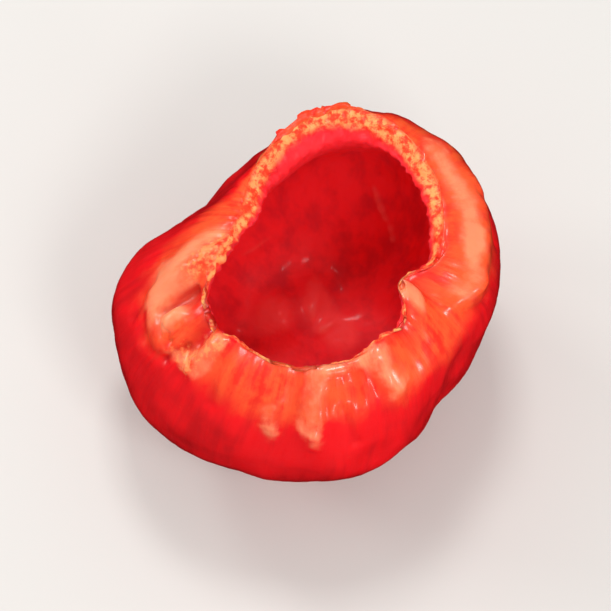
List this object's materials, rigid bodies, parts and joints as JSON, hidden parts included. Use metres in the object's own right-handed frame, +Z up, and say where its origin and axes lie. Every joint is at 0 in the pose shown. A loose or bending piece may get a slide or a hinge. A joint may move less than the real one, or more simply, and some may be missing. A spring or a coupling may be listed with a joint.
{
  "type": "piquante pepper",
  "caption": "Small round pickled pepper, cored from the top: a hollow red fruit with a wrinkled, bent rim, standing upright with its mouth open.",
  "frame": {"origin": "on the surface that the pepper stands on, under the middle of its box", "axes": "+Z up, out of the cut mouth; +X along the fruit's longest width; the viewer of the picture looks along +Y and down"},
  "size_m": [0.0284, 0.027, 0.0261],
  "materials": {
    "flesh": "wet gloss"
  },
  "bodies": {
    "root": {"pepper": "flesh"}
  },
  "joints": []
}
